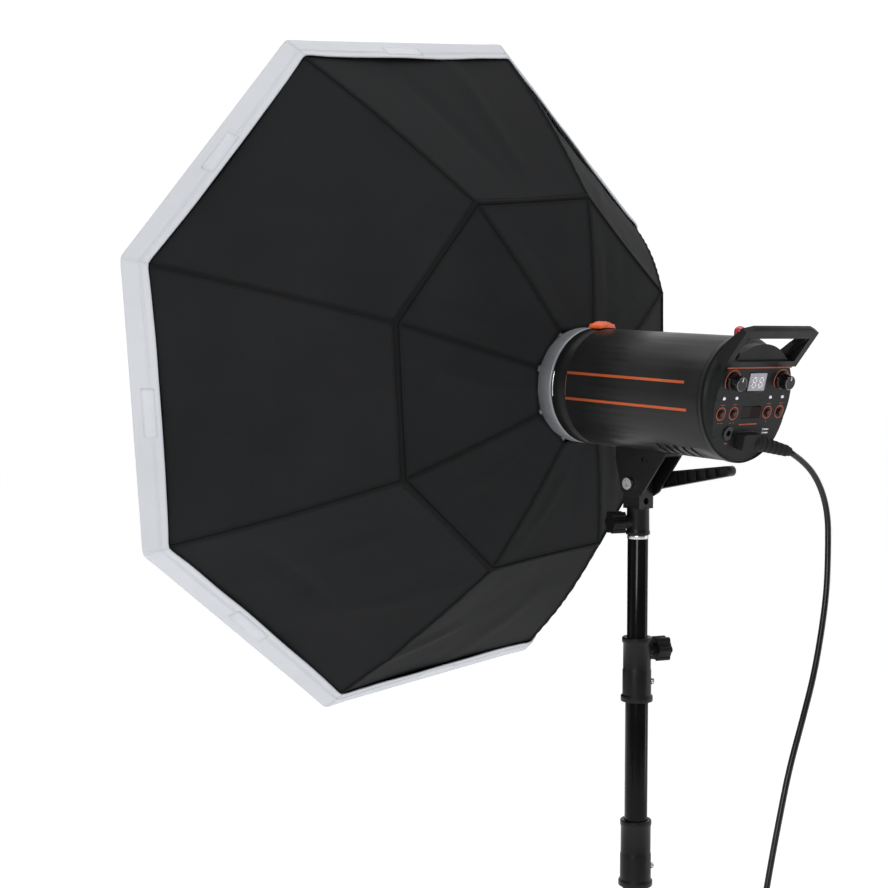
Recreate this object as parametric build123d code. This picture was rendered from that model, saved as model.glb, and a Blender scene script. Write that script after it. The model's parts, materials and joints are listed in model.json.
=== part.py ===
from build123d import *
import math
import os

# An octagonal softbox on a studio flash head, with its tilt bracket and light stand.
# Millimetres. +Z is up, +Y is where the light shines, +X is to the right seen from behind.
# The origin is on the floor, on the stand's axis.
os.makedirs("parts", exist_ok=True)

# ---------------------------------------------------------------- driving dimensions
PIVOT_Z = 1090.0  # height of the tilt bolt
HEAD_RISE = 110.0  # from the tilt bolt up to the axis of the flash head
HEAD_TILT = 2.4  # degrees that the head looks up at rest
BOX_TURN = 5.4  # degrees that the octagon is turned on its ring

# softbox, with y measured along the head's axis from above the tilt bolt
RIM_R, RIM_Y = 475.0, 431.0
SEAM_R, SEAM_Y = 245.0, 174.0
HUB_R, HUB_Y = 76.5, 105.5
SKIRT_Y = 404.0  # rear edge of the white skirt
CLOTH = 2.0  # fabric and lining together
SIDES = 8

# flash head
BARREL_R, BARREL_WALL = 70.0, 2.5
BARREL_REAR, BARREL_FRONT = -154.4, 58.6
BEZEL_FRONT = 82.6
PANEL_Y, PANEL_SLOPE = -167.7, 0.2191  # y = PANEL_Y - PANEL_SLOPE * z
PANEL_R = 62.5
PANEL_WALL = 3.0

# stand
TOP_R, MID_R, BASE_R, TUBE_WALL = 12.25, 13.75, 15.25, 1.1
TOP_TUBE = (360.0, 1024.0)
MID_TUBE = (230.0, 882.0)
BASE_TUBE = (66.0, 656.0)
RECEIVER_BOTTOM = 1029.0
SPIGOT_R = 7.94
LEG_AZIMUTHS = (90.0, 210.0, 330.0)
LEG_PIVOT_R, LEG_PIVOT_Z = 34.0, 360.0
LEG_ANGLE = 50.3  # degrees from the column
BRACE = 200.0  # from pin to pin, the same on the brace and on the leg
LEG_DEPTH, LEG_WIDTH = 20.0, 11.0
PIN_R, PIN_PLAY = 2.5, 0.2
GAP = 0.4  # between pieces that move past each other

# mains lead
CORD_R = 3.5
COIL_CENTRE, COIL_R, COIL_WIDE, COIL_HIGH = (-120.5, -345.0), 38.5, 17.0, 25.0


# ---------------------------------------------------------------- helpers
def save(name, *shapes):
    """Write one node, whose solids stay separate."""
    solids = [s for shape in shapes for s in shape.solids()]
    export_step(Compound(children=solids) if len(solids) > 1 else solids[0], f"parts/{name}.step")


def tube(r_out, r_in, z0, z1):
    """A tube on the Z axis."""
    body = Pos(0, 0, z0) * Cylinder(r_out, z1 - z0, align=(Align.CENTER, Align.CENTER, Align.MIN))
    if r_in:
        body -= Pos(0, 0, z0) * Cylinder(r_in, z1 - z0, align=(Align.CENTER, Align.CENTER, Align.MIN))
    return body


def lathe(*profile):
    """A closed profile of (radius, z), turned about the Z axis."""
    return revolve(make_face(Polyline(*[(r, 0, z) for r, z in profile], close=True)), Axis.Z)


def lathe_y(*profile):
    """The same with the axis along Y: the profile is (radius, y)."""
    return Rot(-90, 0, 0) * lathe(*profile)


def bar(r, start, end):
    """A round bar between two points."""
    a, b = Vector(*start), Vector(*end)
    place = Plane(origin=a, z_dir=(b - a).normalized()).location
    return place * Cylinder(r, (b - a).length, align=(Align.CENTER, Align.CENTER, Align.MIN))


def box(x0, x1, y0, y1, z0, z1):
    return Pos((x0 + x1) / 2, (y0 + y1) / 2, (z0 + z1) / 2) * Box(x1 - x0, y1 - y0, z1 - z0)


def prism_x(points, x0, x1):
    """A closed outline of (y, z), extruded along X."""
    face = make_face(Polyline(*[(x0, y, z) for y, z in points], close=True))
    return extrude(face, x1 - x0, dir=(1, 0, 0))


def radial(azimuth, height=0.0):
    """Places a shape whose +X points away from the stand's axis."""
    return Pos(0, 0, height) * Rot(0, 0, azimuth)


def head(shape):
    """From the head's own axes, with Y on the axis of the flash tube, to the row frame."""
    return Pos(0, 0, PIVOT_Z) * Rot(HEAD_TILT, 0, 0) * Pos(0, 0, HEAD_RISE) * shape


def on_panel(x, z):
    """A place on the sloping rear panel, with local Z out of the panel and local Y up."""
    normal = Vector(0, -1, -PANEL_SLOPE).normalized()
    spot = Vector(x, PANEL_Y - PANEL_SLOPE * z, z)
    return Plane(origin=spot, x_dir=(1, 0, 0), z_dir=normal).location


def corner(k, r, y):
    """Corner k of the octagon, counted from the top towards -X."""
    a = math.radians(360.0 / SIDES * (k + 0.5) + BOX_TURN)
    return (-r * math.sin(a), y, r * math.cos(a))


def gore(k, wide, narrow):
    """One flat cloth panel. Each end is its outer and inner edge as (radius, y)."""
    ends = []
    for outer, inner in (wide, narrow):
        points = [corner(k, *outer), corner(k + 1, *outer), corner(k + 1, *inner), corner(k, *inner)]
        ends.append(make_face(Polyline(*points, close=True)))
    return loft(ends, ruled=True)


def octagon(r, y0, y1):
    """A flat octagonal sheet."""
    face = make_face(Polyline(*[corner(k, r, y0) for k in range(SIDES)], close=True))
    return extrude(face, y1 - y0, dir=(0, 1, 0))


# ---------------------------------------------------------------- softbox
def outer_r(y):
    """Corner radius of the outer cloth at y."""
    return SEAM_R + (RIM_R - CLOTH - SEAM_R) * (y - SEAM_Y) / (RIM_Y - SEAM_Y)


def make_softbox():
    thin = CLOTH * 1.2
    wide = ((outer_r(RIM_Y), RIM_Y), (outer_r(RIM_Y) - thin, RIM_Y))
    seam = ((SEAM_R, SEAM_Y), (SEAM_R - thin, SEAM_Y))
    save("outer_panels", *[head(gore(k, wide, seam)) for k in range(SIDES)])

    inner_r = SEAM_R - thin - 0.3
    seam_in = ((inner_r, SEAM_Y - 1), (inner_r, SEAM_Y - 1 + CLOTH))
    hub = ((HUB_R, HUB_Y), (HUB_R, HUB_Y + CLOTH))
    save("inner_panels", *[head(gore(k, seam_in, hub)) for k in range(SIDES)])

    lift = CLOTH + 0.6
    skirt_front = ((outer_r(RIM_Y) + lift, RIM_Y), (outer_r(RIM_Y) + 1.0, RIM_Y))
    skirt_rear = ((outer_r(SKIRT_Y) + lift, SKIRT_Y), (outer_r(SKIRT_Y) + 1.0, SKIRT_Y))
    skirt = [head(gore(k, skirt_front, skirt_rear)) for k in range(SIDES)]
    save("front_diffuser", head(octagon(outer_r(RIM_Y) + lift, RIM_Y, RIM_Y + 1.6)), *skirt)

    baffle_y = 302.0
    save("inner_baffle", head(octagon(outer_r(baffle_y) - 14, baffle_y, baffle_y + 1.6)))

    rod_r, inset = 2.0, 6.0
    bend = 250.0
    rods, sockets = [], []
    for k in range(SIDES):
        start = Vector(*corner(k, 66, 111))
        middle = Vector(*corner(k, SEAM_R - inset - 3, SEAM_Y + inset))
        tip = Vector(*corner(k, outer_r(RIM_Y) - inset - 4, RIM_Y - 3))
        path = FilletPolyline(start, middle, tip, radius=bend)
        rods.append(sweep(Plane(origin=start, z_dir=middle - start) * Circle(rod_r), path))
        along = (middle - start).normalized()
        sleeve = bar(5.0, start - along * 3, start + along * 26)
        sockets.append(sleeve - bar(rod_r, start, start + along * 27))
    save("support_rods", *[head(r) for r in rods])

    ring = lathe_y(
        (62, BEZEL_FRONT + GAP), (68.5, BEZEL_FRONT + GAP), (70, BEZEL_FRONT + 2), (70, 100.5),
        (68.5, 102.5), (68.5, 116), (62, 116),
    )
    for k, socket in enumerate(sockets):
        ring += socket
        start, middle = Vector(*corner(k, 66, 111)), Vector(*corner(k, SEAM_R - inset - 3, SEAM_Y + inset))
        ring -= bar(rod_r, start, start + (middle - start).normalized() * 40)
    save("speed_ring", head(ring - lathe_y((0, 60), (61.99, 60), (61.99, 140), (0, 140))))


# ---------------------------------------------------------------- flash head
def rear_block(r_less, y_less):
    """The tapering rear of the head, closed by the sloping panel."""
    y = BARREL_REAR
    cone = lathe_y(
        (0, y), (BARREL_R - r_less, y), (BARREL_R - 1 - r_less, y - 3),
        (PANEL_R - r_less, y - 9), (PANEL_R - r_less, y - 40), (0, y - 40),
    )
    beyond = on_panel(0, 0) * Pos(0, 0, 100 - y_less) * Box(300, 300, 200)
    return cone - beyond


def make_barrel():
    inner = BARREL_R - BARREL_WALL
    shell = Pos(0, BARREL_REAR, 0) * Rot(-90, 0, 0) * tube(BARREL_R, inner, 0, BARREL_FRONT - BARREL_REAR)
    for side in (-1, 1):
        for n in range(5):
            slot = Pos(0, -118 + 13 * n, -BARREL_R) * Box(26, 4, 12)
            shell -= Rot(0, side * 27, 0) * slot
    save("barrel", head(shell))


def make_bezel():
    """Bayonet ring that the softbox turns on, with the reflector plate behind the lamps."""
    y = BARREL_FRONT
    ring = lathe_y(
        (56, y), (69.4, y), (69.4, y + 6), (70, y + 7), (70, BEZEL_FRONT - 2), (68.5, BEZEL_FRONT),
        (56, BEZEL_FRONT),
    )
    plate = lathe_y((0, y + 2), (56, y + 2), (56, y + 5), (0, y + 5))
    for x in (-28, 28):
        plate -= bar(4.2, (x, y, 0), (x, y + 8, 0))
    plate -= bar(14.0, (0, y, 0), (0, y + 8, 0))
    ring -= box(-5, 5, y - 1, y + 21, 55, 72)  # slot of the release latch
    save("front_bezel", head(ring + plate))


def make_latch():
    """Sprung latch that frees the softbox: it slides to the rear."""
    y0, y1 = BARREL_FRONT + 1.5, BARREL_FRONT + 20.5
    block = box(-12, 12, y0, y1, 66, 77.5) - Pos(0, y0 - 1, 0) * Rot(-90, 0, 0) * tube(70.5, 0, 0, 30)
    block = fillet(block.edges().filter_by(Axis.Y).group_by(Axis.Z)[-1], 2.5)
    stem = box(-4.4, 4.4, y0 + 8, y1 - 1.5, 60, 72)
    save("release_latch", head(block + stem))


def make_rear_panel():
    shell = rear_block(0, 0) - rear_block(PANEL_WALL, PANEL_WALL)
    sill_r = BARREL_R - BARREL_WALL - 0.3  # closes the barrel below the panel's lower edge
    sill = bar(sill_r, (0, BARREL_REAR, 0), (0, BARREL_REAR + PANEL_WALL, 0))
    shell += sill & box(-sill_r, sill_r, -200, 0, -sill_r, -50)
    for x in BUTTON_X:
        shell -= on_panel(x, BUTTON_Z) * Cylinder(BUTTON_R + GAP, 30)
        shell -= on_panel(x, LED_Z) * Cylinder(LED_R, 30)
    for x in (-DIAL_X, DIAL_X):
        shell -= on_panel(x, DIAL_Z) * Cylinder(3.0 + GAP, 30)
    shell -= on_panel(0, DISPLAY_Z) * Box(DISPLAY_W, DISPLAY_H, 2.4)
    shell -= on_panel(0, SWITCH_Z) * Box(SWITCH_W + 3 * GAP, SWITCH_H + 2 * GAP, 30)
    shell -= on_panel(-SOCKET_X, SOCKET_Z) * Cylinder(6.0, 30)
    shell -= on_panel(SOCKET_X, SOCKET_Z) * Box(12.0, 8.0, 30)
    shell -= on_panel(0, INLET_Z) * Box(INLET_W, INLET_H, 30)
    save("rear_panel", head(shell))


def make_handle():
    """Slanting carrying handle: a tray with a grip bar on top and a wide opening for the hand."""
    foot_z, lean, thick, pocket = 36.8, 37.4, 15.0, 9.5
    half, half_top, shoulder, top = 61.4, 47.5, 49.0, 54.0
    rim, grip_under = 9.4, 40.5
    taper, thin = 24.0, 6.0  # from this height up the plate thins to this at its top
    foot = Plane(
        origin=(0, PANEL_Y - PANEL_SLOPE * foot_z, foot_z), x_dir=(1, 0, 0),
        z_dir=(0, -math.cos(math.radians(lean)), -math.sin(math.radians(lean))),
    )
    outline = [(-half, 0), (half, 0), (half, shoulder), (half_top, top), (-half_top, top), (-half, shoulder)]
    plate = extrude(make_face(Polyline(*outline, close=True)), -thick)
    wedge = Polyline((-half, taper, -thick), (-half, top, -thin), (-half, top, -thick), close=True)
    plate -= extrude(make_face(wedge), 2 * half, dir=(1, 0, 0))
    grip_edges = plate.edges().filter_by(Axis.X).group_by(Axis.Y)[-1].sort_by(Axis.Z)
    plate = fillet(grip_edges[-1], 3.6)
    inside = half - rim
    tray = [(-inside, 8), (inside, 8), (inside, grip_under), (-inside, grip_under)]
    plate -= extrude(make_face(Polyline(*tray, close=True)), -pocket)
    fin_x, fin_thick = 48.6, 2.0
    for x in (-fin_x, fin_x):
        side = x - fin_thick / 2
        corners = (side, grip_under + 0.5, 0), (side, grip_under + 0.5, -pocket), (side, 12, -pocket)
        plate += extrude(make_face(Polyline(*corners, close=True)), fin_thick, dir=(1, 0, 0))
    hand = [(-46.5, grip_under), (46.5, grip_under), (46.5, 25.4), (37.6, 12.2), (-37.6, 12.2), (-46.5, 25.4)]
    plate -= extrude(make_face(Polyline(*hand, close=True)), -thick)
    plate = foot.location * plate
    solid = plate - rear_block(0, 0) - bar(BARREL_R, (0, BARREL_REAR, 0), (0, 0, 0))
    save("carry_handle", head(max(solid.solids(), key=lambda s: s.volume)))


# rear panel layout, all as (x, z) seen from behind
BUTTON_X, BUTTON_Z, BUTTON_R = (-49.2, -28.4, 28.4, 49.2), -14.0, 3.4
LED_Z, LED_R = 3.0, 2.0
DIAL_X, DIAL_Z = 41.0, 22.0
DISPLAY_Z, DISPLAY_W, DISPLAY_H = 20.5, 28.0, 20.0
SWITCH_Z, SWITCH_W, SWITCH_H = -13.5, 30.0, 13.0
SOCKET_X, SOCKET_Z = 31.0, -36.0
INLET_Z, INLET_W, INLET_H = -45.0, 28.0, 20.0


def make_controls():
    for name, x in (("left_dial", -DIAL_X), ("right_dial", DIAL_X)):
        dial = lathe((0, 0.5), (9.6, 0.5), (9.6, 3), (8.6, 4), (8.2, 12.5), (7.2, 13.5), (0, 13.5))
        dial += tube(3.0, 0, -9, 1)
        dial -= Pos(0, 5.5, 13.5) * Box(1.2, 5.0, 1.2)  # pointer line
        save(name, head(on_panel(x, DIAL_Z) * dial))
    for n, x in enumerate(BUTTON_X, 1):
        cap = lathe((0, -8), (BUTTON_R, -8), (BUTTON_R, 2.2), (BUTTON_R - 0.8, 3.0), (0, 3.0))
        save(f"push_button_{n}", head(on_panel(x, BUTTON_Z) * cap))
    lamps = [
        head(on_panel(x, LED_Z) * lathe((0, -3), (LED_R, -3), (LED_R, 0.2), (LED_R - 0.7, 1.2), (0, 1.2)))
        for x in BUTTON_X
    ]
    save("indicator_lamps", *lamps)
    save("display_window", head(on_panel(0, DISPLAY_Z) * Pos(0, 0, -0.3) * Box(DISPLAY_W, DISPLAY_H, 1.8)))

    # the rocker rests with its left side pressed in
    half = SWITCH_W / 2
    outline = Polyline(
        (-half, 0, -6), (-half, 0, 1.0), (0, 0, -0.4), (half, 0, 1.0), (half, 0, -6), close=True
    )
    rocker = Pos(0, SWITCH_H / 2, 0) * extrude(make_face(outline), SWITCH_H, dir=(0, -1, 0))
    trim = on_panel(0, SWITCH_Z) * Rot(0, -ROCKER_REST, 0) * rocker
    save("power_switch", head(trim))

    jack = lathe((3.2, -14), (6.0, -14), (6.0, 0), (8.0, 0), (8.0, 1.6), (3.2, 1.6))
    port = Box(12.0, 8.0, 14, align=(Align.CENTER, Align.CENTER, Align.MAX))
    for rise in (-1.8, 1.8):
        port -= Pos(0, rise, 0) * Box(8.0, 1.6, 18)
    save(
        "trigger_sockets",
        head(on_panel(-SOCKET_X, SOCKET_Z) * jack),
        head(on_panel(SOCKET_X, SOCKET_Z) * port),
    )

    r, wall, rise = 6.6, 1.0, 4.5
    top = rise + r
    half = [
        Line((0, 0, -wall), (r, 0, -wall)), Line((r, 0, -wall), (r, 0, rise)),
        Line((0, 0, top), (0, 0, -wall)),
        ThreePointArc((r, 0, rise), (r * HALF, 0, rise + r * HALF), (0, 0, top)),
    ]
    dome = Pos(0, -145.0, BARREL_R) * revolve(make_face(Wire(half)), Axis.Z)
    save("sensor_dome", head(dome - bar(BARREL_R, (0, -170, 0), (0, -120, 0))))


ROCKER_REST = 5.0  # degrees, and the rocker turns twice this
HALF = math.sqrt(0.5)


def make_inside():
    """What makes the light: lamps, glass, board and capacitors."""
    y = BARREL_FRONT + 5
    ring = Pos(0, y + 26, 0) * Rot(-90, 0, 0) * Torus(28, 3.6)
    legs = bar(3.0, (-28, y - 10, 0), (-28, y + 26, 0)) + bar(3.0, (28, y - 10, 0), (28, y + 26, 0))
    save("flash_tube", head(ring + legs))
    bulb = lathe_y(
        (0, y - 12), (11, y - 12), (11, y + 6), (13, y + 16), (13, y + 34), (8, y + 42), (0, y + 44)
    )
    save("modelling_lamp", head(bulb))
    dome = lathe_y(
        (42, y), (44.5, y), (44.5, y + 34), (36, y + 54), (18, y + 63), (0, y + 65), (0, y + 62.5),
        (17, y + 60.5), (34, y + 52), (42, y + 33),
    )
    save("glass_cover", head(dome))
    inner, board_z = BARREL_R - BARREL_WALL, -26.0
    half = math.sqrt(inner**2 - board_z**2) - 0.3
    save("circuit_board", head(box(-half, half, -140, 48, board_z - 0.6, board_z + 1.0)))
    cans = [
        head(bar(17.0, (x, yy, board_z + 18.0), (x, yy + 78, board_z + 18.0)))
        for x in (-19, 19)
        for yy in (-128, -38)
    ]
    save("capacitors", *cans)


# ---------------------------------------------------------------- tilt bracket
PLATE_IN, PLATE_OUT = 12.4, 15.4


def make_bracket():
    """Channel under the barrel: two plates that hang on both sides of the receiver's tongue."""
    outline = [
        (24, -66), (24, -82), (13.5, -118), (7, -125), (-12, -125.5), (-21, -120), (-54, -73), (-54, -66)
    ]
    channel = prism_x(outline, -PLATE_OUT, PLATE_OUT) - prism_x(
        [(40, -74), (-70, -74), (-70, -140), (40, -140)], -PLATE_IN, PLATE_IN
    )
    channel -= bar(BARREL_R, (0, -120, 0), (0, 58, 0))
    channel -= bar(4.0 + PIN_PLAY, (-30, 0, -HEAD_RISE), (30, 0, -HEAD_RISE))
    for y in (-19.0, -26.0):
        channel -= box(-20, 20, y - 1.2, y + 1.2, -82, -77)
    save("head_bracket", head(channel))


def make_lever():
    """Clamp lever: a hub and a tapering arm, sunk on both faces between its rim and cross ribs."""
    near, far = 17.0, 30.0  # the arm's faces, as x
    reach, root, tip = 126.0, 10.5, 6.0
    rim, sunk, rib = 2.0, 4.0, 1.6

    def outline(less):
        tip_y = -reach + tip
        start = -14.0 if less else 0.0
        return [(start, less - root), (start, root - less), (tip_y, tip - less), (tip_y, less - tip)]

    hub = bar(12.0, (PLATE_OUT + GAP, 0, 0), (far, 0, 0))
    arm = prism_x(outline(0), near, far) + bar(tip, (near, -reach + tip, 0), (far, -reach + tip, 0))
    for x0, x1 in ((near, near + sunk), (far - sunk, far)):
        pocket = prism_x(outline(rim), x0, x1)
        for n in range(6):
            y = -30.0 - 15.0 * n
            pocket -= box(x0, x1, y - rib / 2, y + rib / 2, -root, root)
        arm -= pocket
    lever = Rot(-12, 0, 0) * (hub + arm) - bar(4.0 + PIN_PLAY, (10, 0, 0), (35, 0, 0))
    save("tilt_lever", head(Pos(0, 0, -HEAD_RISE) * lever))


def make_bolt():
    shank = bar(4.0, (-18, 0, PIVOT_Z), (29, 0, PIVOT_Z))
    cap = bar(7.0, (-20, 0, PIVOT_Z), (-PLATE_OUT - GAP, 0, PIVOT_Z))
    cap -= Pos(-20, 0, PIVOT_Z) * Rot(0, 90, 0) * extrude(RegularPolygon(3.2, 6), 2.6)
    save("tilt_bolt", shank + cap)


RECEIVER_KNOB = (160.0, 1044.0)
MID_KNOB = (-20.0, 890.0)
BASE_KNOB = (45.0, 664.0)
LEG_KNOB = (270.0, 378.0)
STUD_R = 3.0


def knob_hole(azimuth, z, r0, r1):
    return radial(azimuth, z) * bar(STUD_R + GAP, (r0, 0, 0), (r1, 0, 0))


def make_receiver():
    """Socket on the stand's spigot, with the tongue of the tilt joint above it."""
    z = RECEIVER_BOTTOM
    body = lathe((0, z), (14.4, z), (14.4, z + 3), (13.6, z + 5), (13.2, z + 33), (0, z + 33))
    tongue = box(-12, 12, -13, 13, z + 31, PIVOT_Z) + bar(13.0, (-12, 0, PIVOT_Z), (12, 0, PIVOT_Z))
    boss = radial(*RECEIVER_KNOB) * bar(8.0, (9, 0, 0), (17, 0, 0))
    body = body + tongue + boss
    body -= tube(SPIGOT_R + 0.3, 0, z - 1, z + 31)
    body -= bar(4.0, (-20, 0, PIVOT_Z), (20, 0, PIVOT_Z))
    body -= bar(UMBRELLA_R, (0, -20, UMBRELLA_Z), (0, 20, UMBRELLA_Z))
    save("receiver", body - knob_hole(*RECEIVER_KNOB, 0, 20))


UMBRELLA_R, UMBRELLA_Z = 4.1, 1069.0


def star_knob(name, spot, stud_from, grip_from, thick=17.0, r=14.0):
    """Lobed clamp knob with its stud, pointing at the stand's axis."""
    grip = bar(r - 2.5, (grip_from, 0, 0), (grip_from + thick, 0, 0))
    for n in range(6):
        a = math.radians(60 * n)
        y, z = (r - 4.0) * math.cos(a), (r - 4.0) * math.sin(a)
        grip += bar(4.0, (grip_from, y, z), (grip_from + thick, y, z))
    grip += bar(6.0, (grip_from - 2.5, 0, 0), (grip_from, 0, 0))
    save(name, radial(*spot) * (grip + bar(STUD_R, (stud_from, 0, 0), (grip_from, 0, 0))))


# ---------------------------------------------------------------- stand
def collar(name, z0, z1, step, tube_top, tube_r, bore_r, rs, knob):
    """Clamp collar on the top of a tube, stepped, with a boss for its knob."""
    low, body, upper, top = rs
    turned = lathe(
        (tube_r, z0), (low, z0), (low, z0 + 6), (body, z0 + 8), (body, step), (upper, step + 2),
        (upper, z1 - 8), (top, z1 - 6), (top, z1 - 1), (top - 1, z1), (bore_r, z1), (bore_r, tube_top),
        (tube_r, tube_top),
    )
    boss = radial(*knob) * bar(8.5, (bore_r + 1, 0, 0), (top + 1.5, 0, 0)) - tube(tube_r + 0.01, 0, z0, z1)
    whole = turned + boss - tube(bore_r, 0, z0 - 1, z1 + 1)
    save(name, whole - knob_hole(*knob, bore_r - 1, top + 3))


def small_bolt(azimuth, z, r0, r1):
    return radial(azimuth, z) * bar(3.6, (r0, 0, 0), (r1, 0, 0))


def make_sections():
    save("top_tube", tube(TOP_R, TOP_R - TUBE_WALL, *TOP_TUBE))
    save("mid_tube", tube(MID_R, MID_R - TUBE_WALL, *MID_TUBE))
    save("base_tube", tube(BASE_R, BASE_R - TUBE_WALL, *BASE_TUBE))
    z = TOP_TUBE[1]
    plug_r = TOP_R - TUBE_WALL
    save("spigot", lathe(
        (0, z - 34), (plug_r, z - 34), (plug_r, z), (12.6, z), (12.6, z + 4.0), (9.5, z + 4.6),
        (SPIGOT_R, z + 4.6), (SPIGOT_R, z + 12), (6.9, z + 13), (6.9, z + 24), (SPIGOT_R, z + 25),
        (SPIGOT_R, z + 33), (SPIGOT_R - 1, z + 34), (0, z + 34),
    ))
    # the top tube is the mid collar's moving guest, so the bore leaves it room
    collar("mid_collar", 829, 906, 866, MID_TUBE[1], MID_R, TOP_R + GAP, (19.2, 17.2, 16.6, 18.0), MID_KNOB)
    collar(
        "base_collar", 605, 685, 643, BASE_TUBE[1], BASE_R, MID_R + GAP, (20.5, 18.6, 18.0, 18.8), BASE_KNOB
    )
    save("mid_collar_bolt", small_bolt(-40, 852, 17.2, 20.5))
    star_knob("receiver_lock_knob", RECEIVER_KNOB, SPIGOT_R + 0.7, 20)
    star_knob("mid_lock_knob", MID_KNOB, TOP_R + GAP + 0.3, 22.5, r=15.5)
    star_knob("base_lock_knob", BASE_KNOB, MID_R + GAP + 0.3, 23.3, r=15.5)
    star_knob("leg_lock_knob", LEG_KNOB, BASE_R + GAP + 0.3, 31.0)


HUB_Z = LEG_PIVOT_Z - 2 * BRACE * math.cos(math.radians(LEG_ANGLE))
HUB_OUT_R = 21.0
LUG_HALF = 5.8
STRIP_IN = LUG_HALF + GAP
STRIP = 2.0
EAR_IN, EAR_OUT = LEG_WIDTH / 2 + GAP, LEG_WIDTH / 2 + GAP + 3.0


def bar_y(r, y0, y1, x=0.0, z=0.0):
    return bar(r, (x, y0, z), (x, y1, z))


def rivet(azimuth, z, half, head_in):
    """Rivet through a pivot at the leg pivot's radius, across the leg."""
    shank = bar_y(PIN_R, -half, half)
    heads = bar_y(4.4, head_in, half + 0.2) + bar_y(4.4, -half - 0.2, -head_in)
    return radial(azimuth, z) * Pos(LEG_PIVOT_R, 0, 0) * (shank + heads)


def make_leg_hub():
    foot = BASE_TUBE[0]
    body = tube(HUB_OUT_R, BASE_R, foot, HUB_Z + 22) + tube(HUB_OUT_R, 0, foot - 6, foot)
    for azimuth in LEG_AZIMUTHS:
        arm = box(18, LEG_PIVOT_R, -LUG_HALF, LUG_HALF, -8, 8) + bar_y(8, -LUG_HALF, LUG_HALF, LEG_PIVOT_R)
        arm -= bar_y(PIN_R, -20, 20, LEG_PIVOT_R)
        body += radial(azimuth, HUB_Z) * (arm - tube(HUB_OUT_R - 0.5, 0, -30, 30))
    save("leg_hub", body)
    rivets = [rivet(a, HUB_Z, STRIP_IN + STRIP + 2.0, STRIP_IN + STRIP + GAP) for a in LEG_AZIMUTHS]
    save("base_fasteners", *rivets, small_bolt(-40, 628, 18.6, 21.6))


def make_leg_collar():
    z0, z1 = LEG_PIVOT_Z - 22, LEG_PIVOT_Z + 32
    body = tube(21.5, 0, z0, z1)
    for azimuth in LEG_AZIMUTHS:
        for side in (-1, 1):
            y0, y1 = sorted((side * EAR_IN, side * EAR_OUT))
            ear = box(16, LEG_PIVOT_R, y0, y1, -9, 9) + bar_y(9, y0, y1, LEG_PIVOT_R)
            body += radial(azimuth, LEG_PIVOT_Z) * (ear - bar_y(PIN_R, -20, 20, LEG_PIVOT_R))
    body += radial(*LEG_KNOB) * bar(8.5, (16, 0, 0), (27, 0, 0))
    body -= tube(BASE_R + GAP, 0, z0 - 1, z1 + 1)
    save("leg_collar", body - knob_hole(*LEG_KNOB, 10, 30))
    save("leg_rivets", *[rivet(a, LEG_PIVOT_Z, EAR_OUT + 1.8, EAR_OUT) for a in LEG_AZIMUTHS])


def make_legs():
    """Legs and braces, first hanging straight down from a pivot at the origin."""
    c, s = math.cos(math.radians(LEG_ANGLE)), math.sin(math.radians(LEG_ANGLE))
    foot_half = LEG_DEPTH / 2 + 2
    # the rubber foot runs on below the floor and is cut flat there
    foot_end = (LEG_PIVOT_Z - foot_half * s + 7.0) / c
    length = foot_end - 14.0
    leg = box(-LEG_DEPTH / 2, LEG_DEPTH / 2, -LEG_WIDTH / 2, LEG_WIDTH / 2, -length, 0)
    leg = fillet(leg.edges().filter_by(Axis.Z), 2.5)
    hollow = box(-8.8, 8.8, -4.3, 4.3, -length - 1, -18)
    leg = leg + bar_y(LEG_DEPTH / 2, -LEG_WIDTH / 2, LEG_WIDTH / 2) - hollow
    leg -= bar_y(PIN_R + PIN_PLAY, -20, 20)
    foot = box(-foot_half, foot_half, -7.5, 7.5, -foot_end, -foot_end + 34)
    foot = fillet(foot.edges().filter_by(Axis.Z), 3.0)
    foot -= fillet(
        box(-LEG_DEPTH / 2, LEG_DEPTH / 2, -LEG_WIDTH / 2, LEG_WIDTH / 2, -length, 1).edges().filter_by(Axis.Z), 2.5
    )

    strips = []
    for side in (-1, 1):
        y0, y1 = sorted((side * STRIP_IN, side * (STRIP_IN + STRIP)))
        strip = box(-7, 7, y0, y1, 0, BRACE) + bar_y(7, y0, y1) + bar_y(7, y0, y1, 0, BRACE)
        y2, y3 = sorted((side * (STRIP_IN + STRIP), side * (STRIP_IN + STRIP + 1.8)))
        strips.append(strip + bar_y(4.4, y2, y3, 0, BRACE) - bar_y(PIN_R + PIN_PLAY, -20, 20))
    outer = STRIP_IN + STRIP
    brace = strips[0] + strips[1] + box(-7, -5.4, -outer, outer, 24, 118)

    floor = box(-900, 900, -900, 900, -200, 0)
    for n, azimuth in enumerate(LEG_AZIMUTHS, 1):
        spread = radial(azimuth, LEG_PIVOT_Z) * Pos(LEG_PIVOT_R, 0, 0) * Rot(0, -LEG_ANGLE, 0)
        save(f"leg_{n}", spread * leg)
        save(f"foot_{n}", spread * foot - floor)
        rise = radial(azimuth, HUB_Z) * Pos(LEG_PIVOT_R, 0, 0) * Rot(0, LEG_ANGLE, 0)
        save(f"brace_{n}", rise * brace)


# ---------------------------------------------------------------- mains lead
INLET_OUT = 11.0  # how far the angled connector stands off the panel
RELIEF_END = (57.0, -177.5, 1134.0)
CORD_ROUTE = [
    RELIEF_END, (82, -181, 1121), (104, -185, 1095), (114, -189, 1061), (110, -193, 1021), (102, -198, 974),
    (86, -203, 926), (68, -207, 880), (44, -210, 832), (21, -212, 785), (3, -214, 735), (-14, -216, 685),
    (-30, -218, 632), (-45, -221, 570), (-58, -227, 500), (-68, -236, 425), (-75, -247, 350), (-79, -259, 275),
    (-81, -269, 205), (-82, -277, 145), (-82, -283, 98), (-82, -288, 58), (-82, -301, 24), (-82, -324, 4.6),
    (-82, -345, 4.0),
]
PLUG_AT, PLUG_TURN = (-162.5, -276.0, 10.5), 180.0


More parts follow.
